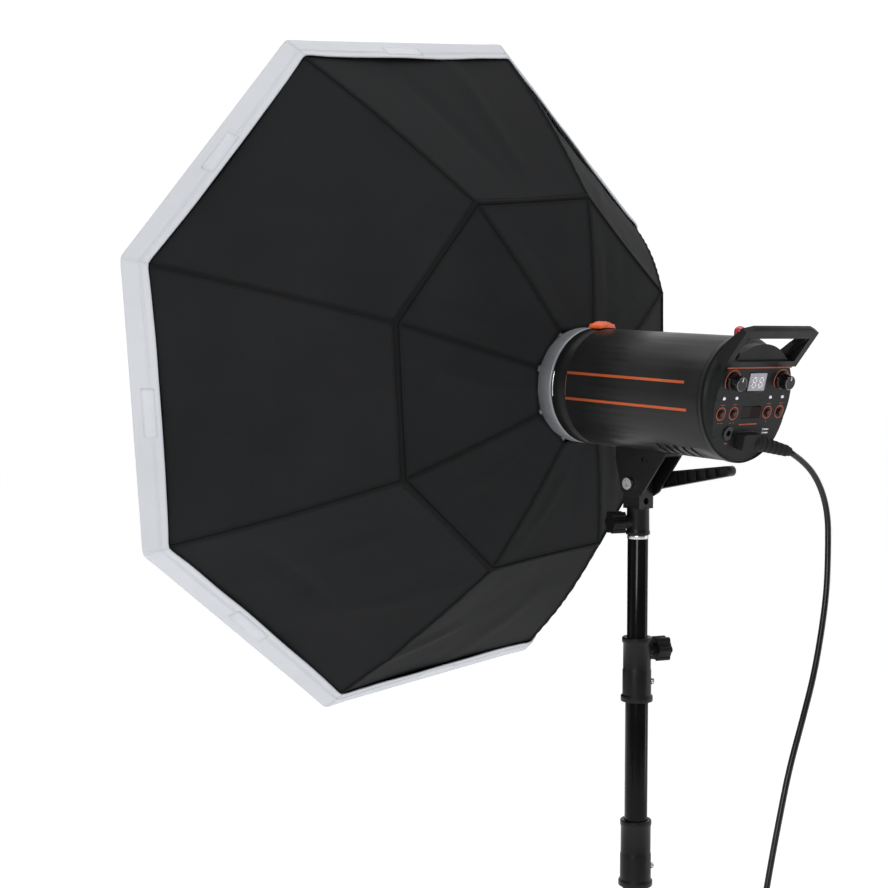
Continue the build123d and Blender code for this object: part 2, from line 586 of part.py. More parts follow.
def make_cord():
    points = [Vector(*p) for p in CORD_ROUTE]
    radii = []
    for a, b, c in zip(points, points[1:], points[2:]):
        turn = (b - a).get_angle(c - b)
        radii.append(0.45 * min((b - a).length, (c - b).length) / math.tan(math.radians(turn / 2)))
    print("cord radii", [round(r) for r in radii])
    path = FilletPolyline(*points, radius=radii)
    lead = sweep(Plane(origin=points[0], z_dir=points[1] - points[0]) * Circle(CORD_R), path)
    ratio = lead.volume / (path.length * math.pi * CORD_R**2)
    print("cord length", round(path.length), "volume ratio", round(ratio, 4))
    save("cord_run", lead)

    x, y = COIL_CENTRE
    inside, outside = COIL_R - COIL_WIDE / 2, COIL_R + COIL_WIDE / 2
    turns = Pos(x, y, 0) * tube(outside, inside, 0, COIL_HIGH)
    px, py, pz = PLUG_AT
    tail = bar(CORD_R, (px, y, CORD_R + 2), (px, py - 32, pz))
    save("cord_coil", turns + tail - lead)

    save("mains_inlet", head(on_panel(0, INLET_Z) * (
        Box(INLET_W, INLET_H, 18, align=(Align.CENTER, Align.CENTER, Align.MAX))
        - Pos(0, 0, 1) * Box(22, 15, 15, align=(Align.CENTER, Align.CENTER, Align.MAX))
    )))
    block = Box(28, 19, INLET_OUT, align=(Align.CENTER, Align.CENTER, Align.MIN))
    block = fillet(block.edges().filter_by(Axis.Z), 3.0)
    block += Box(21.6, 14.6, 13.5, align=(Align.CENTER, Align.CENTER, Align.MAX))
    block = head(on_panel(0, INLET_Z) * Pos(0, 0, 0.2) * block)
    start = head(on_panel(0, INLET_Z) * Pos(12, -1, 6.2)).position
    end = Vector(*RELIEF_END)
    way = (end - start).normalized()
    place = Plane(origin=start, z_dir=way).location
    far = (end - start).length
    relief = place * lathe((0, 0), (8.0, 0), (7.0, far * 0.5), (4.6, far), (0, far))
    off_panel = Pos(0, 0, 0.4) * Box(200, 200, 200, align=(Align.CENTER, Align.CENTER, Align.MIN))
    relief &= head(on_panel(0, 0) * off_panel)
    save("cord_connector", block + relief - lead)

    body = Box(36, 34, 19) + Pos(0, 24, 0) * Box(20, 16, 15)
    body = Pos(px, py, pz) * Rot(0, 0, PLUG_TURN) * body
    pins = Pos(px, py, pz) * Rot(0, 0, PLUG_TURN) * (
        Pos(-6.4, -25, 0) * Box(6.3, 17, 1.6) + Pos(6.4, -25, 0) * Box(6.3, 17, 1.6)
        + bar_y(2.4, -35, -17, 0, 5.5)
    )
    save("mains_plug", body + pins)


make_softbox()
make_barrel()
make_bezel()
make_latch()
make_rear_panel()
make_handle()
make_controls()
make_inside()
make_bracket()
make_lever()
make_bolt()
make_receiver()
make_sections()
make_leg_hub()
make_leg_collar()
make_legs()
make_cord()
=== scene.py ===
import json
import math

import bmesh
import bpy
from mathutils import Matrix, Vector, noise


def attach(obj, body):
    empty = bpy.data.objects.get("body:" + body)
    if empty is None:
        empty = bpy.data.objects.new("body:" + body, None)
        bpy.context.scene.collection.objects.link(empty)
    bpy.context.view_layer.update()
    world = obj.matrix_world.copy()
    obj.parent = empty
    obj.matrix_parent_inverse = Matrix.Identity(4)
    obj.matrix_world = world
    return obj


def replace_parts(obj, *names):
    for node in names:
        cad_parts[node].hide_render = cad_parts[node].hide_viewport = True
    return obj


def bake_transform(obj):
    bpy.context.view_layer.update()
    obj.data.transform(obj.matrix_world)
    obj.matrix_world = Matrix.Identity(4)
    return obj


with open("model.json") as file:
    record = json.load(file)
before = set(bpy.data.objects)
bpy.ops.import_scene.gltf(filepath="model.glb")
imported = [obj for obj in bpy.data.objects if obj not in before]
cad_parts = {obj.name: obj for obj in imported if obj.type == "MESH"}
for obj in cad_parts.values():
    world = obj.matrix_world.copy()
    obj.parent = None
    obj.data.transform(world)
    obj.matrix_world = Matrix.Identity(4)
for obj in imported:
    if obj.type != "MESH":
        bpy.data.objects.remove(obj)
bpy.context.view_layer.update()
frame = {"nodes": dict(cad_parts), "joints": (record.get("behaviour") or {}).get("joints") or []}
NODES = frame["nodes"]
SCENE = bpy.context.scene
MM = 0.001

# ------------------------------------------------------------------ camera
camera_data = bpy.data.cameras.new("camera")
camera_data.lens = 67.0
camera_data.sensor_width = 36.0
camera = bpy.data.objects.new("camera", camera_data)
camera.location = (-1.4262, -1.3525, 1.2623)
camera.rotation_euler = (math.radians(86.3), 0.0, math.radians(-39.79))
SCENE.collection.objects.link(camera)
SCENE.camera = camera

# ------------------------------------------------------------------ places, from the frame
JOINTS = {joint["name"]: joint for joint in frame["joints"]}
PIVOT = Vector(JOINTS["tilt"]["pos_m"])
AXIS = Vector(JOINTS["softbox_turn"]["axis"]).normalized()  # the way the light shines
RING = Vector(JOINTS["softbox_turn"]["pos_m"])
UP = Vector((1, 0, 0)).cross(AXIS)  # up, square to the head's axis
AHEAD = (RING - PIVOT).dot(AXIS)  # from above the pivot to the bezel's front


def at_head(x, y, z):
    """Row-frame point of the head's own axes, in mm: y from above the tilt bolt, z from the axis."""
    return RING + Vector((x, 0, 0)) * MM + AXIS * (y * MM - AHEAD) + UP * z * MM


# ------------------------------------------------------------------ materials
def material(name):
    """A new material with its node tree, and its Principled shader."""
    made = bpy.data.materials.new(name)
    made.use_nodes = True
    return made, made.node_tree, made.node_tree.nodes["Principled BSDF"]


def node(tree, kind, **inputs):
    """A shader node with its inputs set: a value, or a socket to link from."""
    new = tree.nodes.new(kind)
    for name, value in inputs.items():
        socket = new.inputs[name.replace("_", " ")]
        if isinstance(value, bpy.types.NodeSocket):
            tree.links.new(value, socket)
        else:
            socket.default_value = value
    return new


def place(tree, rotation=(0, 0, 0)):
    """Object coordinates, turned."""
    source = tree.nodes.new("ShaderNodeTexCoord").outputs["Object"]
    return node(tree, "ShaderNodeMapping", Vector=source, Rotation=rotation).outputs["Vector"]


def shades(tree, factor, dark, light, low=0.35, high=0.65):
    """A colour that runs from dark to light as the factor goes from low to high."""
    ramp = node(tree, "ShaderNodeValToRGB", Fac=factor)
    ramp.color_ramp.elements[0].position, ramp.color_ramp.elements[0].color = low, (*dark, 1)
    ramp.color_ramp.elements[1].position, ramp.color_ramp.elements[1].color = high, (*light, 1)
    return ramp.outputs["Color"]


def spread(tree, factor, low, high):
    """A number from low to high as the factor goes from 0.3 to 0.7."""
    mapped = node(tree, "ShaderNodeMapRange", Value=factor)
    for socket, value in zip(mapped.inputs[1:5], (0.3, 0.7, low, high)):
        socket.default_value = value
    return mapped.outputs["Result"]


def bump(tree, shader, height, distance):
    """Adds a bump on top of whatever the shader's normal already holds."""
    made = node(tree, "ShaderNodeBump", Height=height, Distance=distance, Strength=1.0)
    if shader.inputs["Normal"].is_linked:
        tree.links.new(shader.inputs["Normal"].links[0].from_socket, made.inputs["Normal"])
    tree.links.new(made.outputs["Normal"], shader.inputs["Normal"])


def add_noise(tree, vector, scale, detail):
    """The factor of a noise texture."""
    made = node(tree, "ShaderNodeTexNoise", Vector=vector, Scale=scale, Detail=detail, Roughness=0.55)
    return made.outputs["Fac"]


def moulded(
    name, dark, light, rough, grain=1500.0, depth=0.00003, coat=0.0, metallic=0.0, blotch=18.0, gloss=0.5
):
    """Moulded or painted surface: faint colour drift, uneven gloss and a fine grain."""
    made, tree, shader = material(name)
    where = place(tree)
    drift = add_noise(tree, where, blotch, 5.0)
    tree.links.new(shades(tree, drift, dark, light), shader.inputs["Base Color"])
    tree.links.new(spread(tree, drift, rough * 0.85, rough * 1.2), shader.inputs["Roughness"])
    shader.inputs["Metallic"].default_value = metallic
    shader.inputs["Specular IOR Level"].default_value = gloss
    shader.inputs["Coat Weight"].default_value = coat
    shader.inputs["Coat Roughness"].default_value = 0.12
    bump(tree, shader, add_noise(tree, where, grain, 2.0), depth)
    return made


def woven(name, dark, light, pitch, depth, rough, gloss):
    """Cloth with a plain weave of warp and weft and a broad uneven tone."""
    made, tree, shader = material(name)
    where = place(tree)
    tone = add_noise(tree, where, 7.0, 6.0)
    tree.links.new(shades(tree, tone, dark, light, 0.3, 0.7), shader.inputs["Base Color"])
    tree.links.new(spread(tree, tone, rough * 0.9, rough * 1.1), shader.inputs["Roughness"])
    shader.inputs["Specular IOR Level"].default_value = gloss
    for turn in (0.0, math.pi / 2):
        wave = node(tree, "ShaderNodeTexWave", Vector=place(tree, rotation=(0, turn, 0)), Scale=1.0 / pitch)
        wave.inputs["Distortion"].default_value = 0.6
        wave.bands_direction = "X"
        bump(tree, shader, wave.outputs["Fac"], depth)
    return made


CLOTH_BLACK = woven(
    "cloth_black", (0.0125, 0.013, 0.0138), (0.0175, 0.018, 0.019), 0.0035, 0.00005, 0.78, 0.06
)
CLOTH_WHITE = woven("cloth_white", (0.56, 0.575, 0.61), (0.6, 0.615, 0.65), 0.003, 0.00004, 0.75, 0.15)
# Tape darker than the black cloth: painted shade of the creases along the ribs and round the middle seam, and
# of the gap at the barrel's rear joint.
TAPE_PAINTED_SHADE = woven(
    "tape_painted_shade", (0.0085, 0.0088, 0.0094), (0.0115, 0.0118, 0.0125), 0.0012, 0.00008, 0.75, 0.06
)
HOOK_TAPE = woven("hook_tape", (0.6, 0.615, 0.65), (0.66, 0.675, 0.71), 0.0016, 0.00006, 0.8, 0.1)
THREAD = moulded("thread", (0.01, 0.01, 0.0105), (0.018, 0.018, 0.019), 0.7, gloss=0.1)
THREAD_WHITE = moulded("thread_white", (0.56, 0.57, 0.6), (0.64, 0.65, 0.68), 0.6, gloss=0.2)
BARREL_PAINT = moulded("barrel_paint", (0.0085, 0.0092, 0.0085), (0.0105, 0.0112, 0.0105), 0.34, gloss=0.27)
PANEL_PLASTIC = moulded("panel_plastic", (0.0085, 0.0092, 0.0096), (0.0115, 0.0122, 0.0126), 0.45, gloss=0.14)
BLACK_PLASTIC = moulded("black_plastic", (0.0045, 0.0045, 0.0048), (0.007, 0.007, 0.0074), 0.36, gloss=0.18)
GLOSS_BLACK = moulded(
    "gloss_black", (0.004, 0.004, 0.0045), (0.006, 0.006, 0.0065), 0.14, depth=0.00001, gloss=0.3
)
TUBE_PAINT = moulded(
    "tube_paint", (0.0028, 0.0028, 0.003), (0.0042, 0.0042, 0.0046), 0.14, depth=0.00001, gloss=0.14
)
ORANGE = moulded("orange", (0.66, 0.09, 0.02), (0.78, 0.125, 0.03), 0.32, coat=0.2, gloss=0.35)
STRIPE_PAINT = moulded("stripe_paint", (0.42, 0.075, 0.022), (0.48, 0.095, 0.03), 0.5, gloss=0.2)
GREY_RING = moulded("grey_ring", (0.19, 0.195, 0.21), (0.24, 0.245, 0.26), 0.45, metallic=0.5, gloss=0.3)
STEEL = moulded("steel", (0.5, 0.5, 0.52), (0.62, 0.62, 0.64), 0.28, metallic=1.0)
DARK_CHROME = moulded("dark_chrome", (0.14, 0.14, 0.15), (0.2, 0.2, 0.21), 0.16, metallic=1.0)
RUBBER = moulded("rubber", (0.0095, 0.0095, 0.0105), (0.014, 0.014, 0.015), 0.62, gloss=0.16)
CORD_SHEATH = moulded(
    "cord_sheath", (0.004, 0.004, 0.0044), (0.007, 0.007, 0.0074), 0.3, blotch=40.0, gloss=0.4
)
RED_LENS = moulded("red_lens", (0.42, 0.004, 0.008), (0.55, 0.008, 0.012), 0.12, coat=0.8)
HANDLE_PLASTIC = moulded(
    "handle_plastic", (0.007, 0.0075, 0.0075), (0.01, 0.0105, 0.0105), 0.46,
    grain=900.0, depth=0.00006, gloss=0.15,
)
KNOB_PLASTIC = moulded(
    "knob_plastic", (0.0045, 0.0045, 0.0048), (0.008, 0.008, 0.0083), 0.45,
    grain=1100.0, depth=0.00005, gloss=0.15,
)
PRINT_ORANGE = moulded("print_orange", (0.38, 0.085, 0.045), (0.46, 0.11, 0.06), 0.5, gloss=0.15)
PRINT_WHITE = moulded("print_white", (0.75, 0.75, 0.78), (0.85, 0.85, 0.88), 0.45, gloss=0.3)
BRASS = moulded("brass_mark", (0.12, 0.075, 0.03), (0.18, 0.11, 0.045), 0.4, metallic=0.6)
DISPLAY = moulded("display_film", (0.27, 0.26, 0.3), (0.32, 0.31, 0.36), 0.25, coat=0.3)
DIGIT = moulded("digit", (0.82, 0.8, 0.86), (0.9, 0.88, 0.94), 0.4)
BUTTON_RED = moulded("button_red", (0.03, 0.007, 0.006), (0.05, 0.012, 0.009), 0.35, gloss=0.3)
SWITCH_RED = moulded("switch_red", (0.008, 0.003, 0.003), (0.012, 0.0045, 0.0045), 0.35, gloss=0.1)
LAMP_WHITE = moulded("lamp_white", (0.82, 0.78, 0.88), (0.9, 0.86, 0.95), 0.2, coat=0.6)
FIBREGLASS = moulded("fibreglass", (0.5, 0.47, 0.4), (0.62, 0.58, 0.5), 0.35, blotch=60.0)
BOARD_GREEN = moulded("board_green", (0.01, 0.07, 0.03), (0.02, 0.11, 0.05), 0.4)
CAN_SLEEVE = moulded("can_sleeve", (0.01, 0.015, 0.05), (0.015, 0.02, 0.075), 0.3)
FROSTED = moulded("frosted_glass", (0.7, 0.72, 0.73), (0.8, 0.82, 0.83), 0.5)
FROSTED.node_tree.nodes["Principled BSDF"].inputs["Transmission Weight"].default_value = 0.6
GLASS = moulded("clear_glass", (0.9, 0.92, 0.93), (0.95, 0.97, 0.98), 0.04, depth=0.000003)
GLASS.node_tree.nodes["Principled BSDF"].inputs["Transmission Weight"].default_value = 1.0


def mesh_object(name, verts, faces, smooth=True, surface=None):
    """A new object of these points, in row-frame metres, and these faces."""
    mesh = bpy.data.meshes.new(name)
    mesh.from_pydata([tuple(v) for v in verts], [], faces)
    mesh.validate()
    mesh.update()
    made = bpy.data.objects.new(name, mesh)
    SCENE.collection.objects.link(made)
    for face in mesh.polygons:
        face.use_smooth = smooth
    if surface:
        mesh.materials.append(surface)
    return made


# ------------------------------------------------------------------ mains lead
CORD_D = 0.007
CORD_ROUTE = [
    (57, -177.5, 1134), (82, -181, 1121), (104, -185, 1095), (114, -189, 1061), (110, -193, 1021),
    (102, -198, 974), (86, -203, 926), (68, -207, 880), (44, -210, 832), (21, -212, 785), (3, -214, 735),
    (-14, -216, 685), (-30, -218, 632), (-45, -221, 570), (-58, -227, 500), (-68, -236, 425),
    (-75, -247, 350), (-79, -259, 275), (-81, -269, 205), (-82, -277, 145), (-82, -283, 98),
    (-82, -288, 58), (-82, -301, 24), (-82, -324, 4.6),
]
COIL_CENTRE = (-120.5, -345.0)
COIL_TURNS = [  # radius and height of each turn, where it starts
    (34.6, 3.6), (34.6, 10.9), (34.6, 18.2), (38.6, 24.6), (42.2, 18.2), (42.2, 10.9), (42.2, 3.8),
]
COIL_STEPS = 16
PLUG_TAIL = [(-162.6, -330, 4.6), (-162.5, -318, 8.6), (-162.5, -309, 10.5)]


def coil_points():
    """Clockwise turns from the +X side of the coil, half a turn short at the end."""
    points = []
    count = int((len(COIL_TURNS) - 0.5) * COIL_STEPS)
    for step in range(1, count + 1):
        turn = step / COIL_STEPS
        index = min(int(turn), len(COIL_TURNS) - 1)
        here = COIL_TURNS[index]
        before = COIL_TURNS[max(index - 1, 0)]
        ease = min((turn - index) * 4, 1.0)  # the first quarter turn climbs to the next place
        radius = before[0] + (here[0] - before[0]) * ease
        height = before[1] + (here[1] - before[1]) * ease
        angle = -2 * math.pi * turn
        x = COIL_CENTRE[0] + radius * math.cos(angle)
        y = COIL_CENTRE[1] + radius * math.sin(angle)
        points.append((x, y, height))
    return points


def smooth_line(points):
    """Points read from the NURBS spline that has these control points, in mm."""
    curve = bpy.data.curves.new("route", "CURVE")
    curve.dimensions = "3D"
    spline = curve.splines.new("NURBS")
    spline.points.add(len(points) - 1)
    for spot, point in zip(spline.points, points):
        spot.co = (point[0] * MM, point[1] * MM, point[2] * MM, 1)
    spline.order_u = 3
    spline.use_endpoint_u = True
    spline.resolution_u = 8
    holder = bpy.data.objects.new("route", curve)
    SCENE.collection.objects.link(holder)
    bpy.context.view_layer.update()
    line = bpy.data.meshes.new_from_object(holder.evaluated_get(bpy.context.evaluated_depsgraph_get()))
    found = [v.co.copy() for v in line.vertices]
    bpy.data.objects.remove(holder)
    return found


def tube_along(name, line, radius, surface):
    """A tube along a line of points, with ends closed."""
    sides = 14
    verts, faces = [], []
    tangent = (line[1] - line[0]).normalized()
    across = tangent.cross(Vector((0, 0, 1))).normalized()
    for index, point in enumerate(line):
        ahead = line[min(index + 1, len(line) - 1)] - line[max(index - 1, 0)]
        tangent = ahead.normalized()
        across = (across - tangent * across.dot(tangent)).normalized()
        other = tangent.cross(across)
        for side in range(sides):
            a = 2 * math.pi * side / sides
            verts.append(point + (across * math.cos(a) + other * math.sin(a)) * radius)
    for ring in range(len(line) - 1):
        for side in range(sides):
            a, b = ring * sides + side, ring * sides + (side + 1) % sides
            faces.append((a, b, b + sides, a + sides))
    faces.append(tuple(reversed(range(sides))))
    faces.append(tuple(range((len(line) - 1) * sides, len(line) * sides)))
    return mesh_object(name, verts, faces, surface=surface)


route = smooth_line(CORD_ROUTE + coil_points() + PLUG_TAIL)
lead = tube_along("mains_lead", route, CORD_D / 2, CORD_SHEATH)
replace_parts(lead, "cord_run", "cord_coil")
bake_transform(lead)

# ------------------------------------------------------------------ softbox
SIDES = 8
BOX_TURN = 5.4
RIM_R, RIM_Y = 473.0, 431.0
SEAM_R, SEAM_Y = 245.0, 174.0
HUB_R, HUB_Y = 74.0, 105.0
RIB_BOW = 7.0
RIM_SIDE, SEAM_SIDE, HUB_SIDE = 362.0, 187.5, 57.0  # length of one side of each octagon
SKIRT_WIDE = 0.106  # of the outer rib's length
FOLD_DEPTH = 1.7
SLOPE = Vector((RIM_R - SEAM_R, RIM_Y - SEAM_Y)).normalized()  # outer cloth, as (radius, y)
OUTWARD = Vector((SLOPE.y, -SLOPE.x))
INNER_SLOPE = Vector((SEAM_R - HUB_R, SEAM_Y - HUB_Y)).normalized()
INNER_OUTWARD = Vector((INNER_SLOPE.y, -INNER_SLOPE.x))


def spoke(k, r, y):
    """Corner k of an octagon of that corner radius, as a row-frame point."""
    a = math.radians(360.0 / SIDES * (k + 0.5) + BOX_TURN)
    return at_head(-r * math.sin(a), y, r * math.cos(a))


def outer_line(v, lift=0.0):
    """(radius, y) on an outer rib, from the middle seam at v 0 to the rim at v 1."""
    flat = Vector((SEAM_R, SEAM_Y)).lerp(Vector((RIM_R, RIM_Y)), v)
    return flat + OUTWARD * (lift + RIB_BOW * math.sin(math.pi * v))


def inner_line(v, lift=0.0):
    """(radius, y) on an inner rib, from the hub at v 0 to the middle seam at v 1."""
    flat = Vector((HUB_R, HUB_Y)).lerp(Vector((SEAM_R, SEAM_Y)), v)
    return flat + INNER_OUTWARD * (lift + 3.0 * math.sin(math.pi * v))


def crease(u, v, fold):
    """Height of one soft fold, which runs from (u0, v0) to (u1, v1) of a panel."""
    (u0, v0), (u1, v1), height, width = fold
    along = Vector((u1 - u0, v1 - v0))
    t = max(0.0, min(1.0, (Vector((u - u0, v - v0)).dot(along)) / along.length_squared))
    away = (Vector((u, v)) - Vector((u0, v0)) - along * t).length
    taper = math.sin(math.pi * (0.15 + 0.7 * t))
    return FOLD_DEPTH * height * math.exp(-((away / width) ** 2)) * taper


OUTER_FOLDS = {  # by panel: storage and tension folds of the cloth
    0: [((0.1, 0.9), (0.6, 0.55), 2.4, 0.05), ((0.3, 0.2), (0.7, 0.75), -1.8, 0.06)],
    1: [((0.9, 0.95), (0.5, 0.3), -2.0, 0.06), ((0.1, 0.5), (0.9, 0.42), 1.4, 0.04)],
    2: [((0.12, 0.62), (0.62, 0.6), -2.2, 0.035), ((0.62, 0.62), (0.86, 0.2), 2.6, 0.04),
        ((0.3, 0.9), (0.36, 0.1), 1.4, 0.05), ((0.86, 0.2), (0.98, 0.02), 2.6, 0.05)],
    3: [((0.02, 0.6), (0.3, 0.5), 2.6, 0.05), ((0.5, 0.95), (0.75, 0.3), 1.6, 0.07)],
    4: [((0.1, 0.8), (0.9, 0.3), 2.4, 0.05), ((0.3, 0.9), (0.5, 0.2), -2.0, 0.05)],
    5: [((0.2, 0.9), (0.8, 0.4), 2.0, 0.06)],
    6: [((0.3, 0.9), (0.7, 0.1), 2.0, 0.05), ((0.6, 0.95), (0.9, 0.3), -1.8, 0.05)],
    7: [((0.3, 0.95), (0.4, 0.1), 2.4, 0.04), ((0.62, 0.9), (0.58, 0.15), -2.2, 0.05)],
}
INNER_FOLDS = {
    k: [((0.5, 0.02), (0.12 + 0.1 * (k % 3), 0.95), 1.6, 0.07), ((0.5, 0.05), (0.8, 0.9), -1.3, 0.08)]
    for k in range(SIDES)
}


def ruffle(u, v, seed, puckers):
    """Unevenness of stretched cloth: slow waves, and small puckers beside the ribs."""
    slow = noise.fractal(Vector((u * 2.2 + seed, v * 1.4, seed * 1.7)), 1.0, 2.1, 3) * 2.2
    fine = noise.noise(Vector((u * 7.0, v * 4.0 + seed, seed))) * 0.9
    near_rib = math.exp(-min(u, 1 - u) / 0.055)
    gather = math.sin(v * puckers + 2.5 * noise.noise(Vector((seed, v * 6, 0)))) * near_rib * 0.45
    return (slow + fine) * math.sin(math.pi * u) ** 0.6 + gather


def on_cloth(line, folds, sag, puckers, k, u, v, lift=0.0):
    """Point of a cone's cloth: panel k, u across from rib k to the next, v along the ribs."""
    held = math.sin(math.pi * min(max(v, 0.0), 1.0)) ** 0.5
    rise = -sag * math.sin(math.pi * u) * (0.35 + 0.65 * held)
    rise += (ruffle(u, v, k * 3.7, puckers) + sum(crease(u, v, f) for f in folds[k])) * held
    r, y = line(v, rise + lift)
    return spoke(k, r, y).lerp(spoke(k + 1, r, y), u)


def outer_point(k, u, v, lift=0.0):
    """Point of the outer cone's cloth, where u may run past a rib on to the next panel."""
    whole = math.floor(u)
    return on_cloth(outer_line, OUTER_FOLDS, 5.0, 75.0, (k + whole) % SIDES, u - whole, v, lift)


def inner_point(k, u, v, lift=0.0):
    """Point of the inner cone's cloth, likewise."""
    whole = math.floor(u)
    return on_cloth(inner_line, INNER_FOLDS, 3.0, 40.0, (k + whole) % SIDES, u - whole, v, lift)


def grid_faces(columns, rows, closed=False):
    """Quads of a grid whose points are listed column by column."""
    last = columns if closed else columns - 1
    return [
        (i * rows + j, i * rows + j + 1, ((i + 1) % columns) * rows + j + 1, ((i + 1) % columns) * rows + j)
        for i in range(last)
        for j in range(rows - 1)
    ]


def thicken(piece, thickness, offset):
    """Gives a surface its thickness: offset 0 puts half of it on each side, -1 all of it behind."""
    made = piece.modifiers.new("thickness", "SOLIDIFY")
    made.thickness = thickness * MM
    made.offset = offset


def cloth_cone(name, point, across, along, end):
    """Eight panels between the ribs as one sheet, drawn in between them by its own tension."""
    verts = [
        point(k, i / across, end * j / along)
        for k in range(SIDES)
        for i in range(across)
        for j in range(along + 1)
    ]
    sheet = mesh_object(name, verts, grid_faces(SIDES * across, along + 1, True), surface=CLOTH_BLACK)
    thicken(sheet, 1.2, -1.0)
    return on_softbox(sheet)


def on_softbox(piece):
    """The piece, riding the softbox."""
    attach(piece, "softbox")
    return piece


def strip(name, rows, surface, thickness):
    """A sewn-on tape: each row lists the points across it."""
    wide = len(rows[0])
    tape = mesh_object(name, [p for row in rows for p in row], grid_faces(len(rows), wide), surface=surface)
    thicken(tape, thickness, 0.0)
    return tape


def joined(name, pieces):
    """One object made of several, modifiers applied."""
    graph = bpy.context.evaluated_depsgraph_get()
    merged = bmesh.new()
    surface = pieces[0].data.materials[0]
    for piece in pieces:
        flat = bpy.data.meshes.new_from_object(piece.evaluated_get(graph))
        flat.transform(piece.matrix_world)
        merged.from_mesh(flat)
        bpy.data.objects.remove(piece)
    mesh = bpy.data.meshes.new(name)
    merged.to_mesh(mesh)
    merged.free()
    mesh.materials.append(surface)
    whole = bpy.data.objects.new(name, mesh)
    SCENE.collection.objects.link(whole)
    for face in mesh.polygons:
        face.use_smooth = True
    return whole


def stitches(name, lines, surface, pitch=4.0, radius=0.35):
    """Thread dashes along lines of points that lie on the cloth."""
    verts, faces = [], []
    for line in lines:
        walked, due = 0.0, 0.0
        for a, b in zip(line, line[1:]):
            step = (b - a).length
            along = (b - a).normalized()
            side = along.cross(AXIS)
            side = side.normalized() if side.length > 0.01 else UP
            over = along.cross(side)
            while due <= walked + step:
                centre = a + along * (due - walked)
                half, r = along * pitch * 0.32 * MM, radius * MM
                base = len(verts)
                for end in (-1, 1):
                    for x, z in ((1, 0), (0, 1), (-1, 0), (0, -1)):
                        verts.append(centre + half * end * 0.7 + (side * x + over * z) * r)
                verts.extend((centre - half, centre + half))
                for n in range(4):
                    m = (n + 1) % 4
                    faces.append((base + n, base + m, base + 4 + m, base + 4 + n))
                    faces.append((base + m, base + n, base + 8))
                    faces.append((base + 4 + n, base + 4 + m, base + 9))
                due += pitch * MM
            walked += step
    return mesh_object(name, verts, faces, surface=surface)


def make_cones():
    """Black cloth in two cones, each of eight gores side by side."""
    outer = cloth_cone("outer_cloth", outer_point, 44, 40, 0.985)
    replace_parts(outer, "outer_panels")
    inner = cloth_cone("inner_cloth", inner_point, 36, 28, 1.0)
    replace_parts(inner, "inner_panels")


def make_seams():
    """Bound seams along the ribs and round the middle, each between two rows of thread; the tape is darker
    than the cloth, as painted shade of the creases there.
    """
    tapes, threads = [], []
    steps, pieces = 44, 24  # along a rib, and along a side of the middle seam
    half, thread_off, thread_lift, thick = 2.4, 5.0, 0.3, 0.5
    cones = (  # the cloth, its sides' lengths at v 0 and v 1, where the tape ends
        (outer_point, SEAM_SIDE, RIM_SIDE, 0.94),
        (inner_point, HUB_SIDE, SEAM_SIDE, 0.97),
    )
    for k in range(SIDES):
        for point, edge0, edge1, end in cones:
            rows, sides = [], ([], [])
            for i in range(steps + 1):
                v = end * i / steps
                edge = edge0 + (edge1 - edge0) * v
                crown = [(t, 0.35 + 0.65 * (1 - t * t)) for t in (-1, -0.5, 0, 0.5, 1)]
                rows.append([point(k, half / edge * t, v, rise) for t, rise in crown])
                for side, line in zip((-1, 1), sides):
                    line.append(point(k, side * thread_off / edge, v, thread_lift))
            # darker tape: painted shade of the crease along the rib
            tapes.append(strip("tape", rows, TAPE_PAINTED_SHADE, thick))
            threads += sides
    rows = []
    for i in range(SIDES * pieces + 1):
        k, u = divmod(i / pieces, 1.0)
        k = int(k) % SIDES
        rows.append([
            inner_point(k, u, 0.982, 0.5), inner_point(k, u, 0.992, 1.1), outer_point(k, u, 0.0, 1.5),
            outer_point(k, u, 0.006, 1.1), outer_point(k, u, 0.012, 0.5),
        ])
    tapes.append(strip("tape", rows, TAPE_PAINTED_SHADE, thick))
    for point, v in ((inner_point, 0.965), (outer_point, 0.02)):
        line = []
        for i in range(SIDES * pieces + 1):
            line.append(point(i // pieces % SIDES, i / pieces % 1.0, v, thread_lift))
        threads.append(line)
    on_softbox(joined("seam_tapes", tapes))
    on_softbox(stitches("seam_thread", threads, THREAD))


# ------------------------------------------------------------------ front diffuser
SKIRT_STEPS = 60
FRONT_Y = RIM_Y + 1.6
SKIRT_CLEAR = 2.6  # of the outer cloth's rib line


def on_skirt(s, t, lift):
    """Point of the white skirt with sharp corners."""
    k, u = divmod(s, 1.0)
    k = int(k) % SIDES
    corner_near = min(u, 1 - u)
    wave = 2.0 * noise.noise(Vector((k * 5.1 + u * 5.0, t * 1.2, 3.0)))
    pucker = math.exp(-corner_near / 0.07) * 1.4 * math.sin(u * 95.0 + k) * t
    hem = 0.006 * math.sin(math.pi * u) - 0.004 * math.exp(-corner_near / 0.05)
    v = 1.0 - (SKIRT_WIDE + hem) * t
    tip = 2.2 * math.exp(-corner_near / 0.04)
    r, y = outer_line(v, SKIRT_CLEAR + tip + lift + 1.5 * t * (1 - t) + (wave + pucker) * t ** 0.5)
    return spoke(k, r, y).lerp(spoke(k + 1, r, y), u)


def skirt_point(s, t, lift=0.0):
    """Point of the white skirt: s runs round the rim in sides, t from the rim to the rear hem."""
    soften = 0.022  # how far each side of s the corners are rounded over
    return (on_skirt(s - soften, t, lift) + on_skirt(s, t, lift) * 2 + on_skirt(s + soften, t, lift)) / 4


